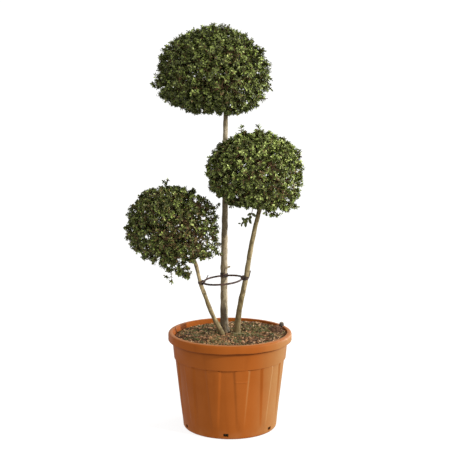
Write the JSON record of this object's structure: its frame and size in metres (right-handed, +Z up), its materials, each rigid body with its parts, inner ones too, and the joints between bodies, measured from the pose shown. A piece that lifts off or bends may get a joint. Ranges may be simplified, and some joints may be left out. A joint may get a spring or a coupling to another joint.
{
  "type": "potted privet triple ball topiary",
  "caption": "Potted privet topiary: clipped leafy balls at staggered heights on bare stems that a ring spreads, standing in a ribbed terracotta-coloured pot.",
  "frame": {"origin": "centre of the pot's flat underside", "axes": "+Z up along the pot's axis, -Y to the front of the picture, +X to its right"},
  "size_m": [0.6177, 0.5, 1.4578],
  "materials": {
    "pot_plastic": "terracotta-coloured injection moulded plastic, satin",
    "potting_mix": "bark and peat potting mix with moss",
    "black_plastic": "matt",
    "trunk_bark": "smooth grey-tan bark",
    "stem_bark": "smooth greenish-tan bark",
    "ring_plastic": "matt",
    "tie_wire": "coated wire, matt",
    "foliage_top": "small glossy leaves, dense",
    "foliage_side": "small glossy leaves, with yellow-green tips"
  },
  "bodies": {
    "root": {"pot": "pot_plastic", "soil": "potting_mix", "peg": "black_plastic", "trunk": "trunk_bark", "stem_left": "stem_bark", "stem_right": "stem_bark", "ring": "ring_plastic", "tie_trunk": "tie_wire", "tie_left": "tie_wire", "tie_right": "tie_wire", "ball_top": "foliage_top", "ball_right": "foliage_side", "ball_left": "foliage_side"}
  },
  "joints": []
}
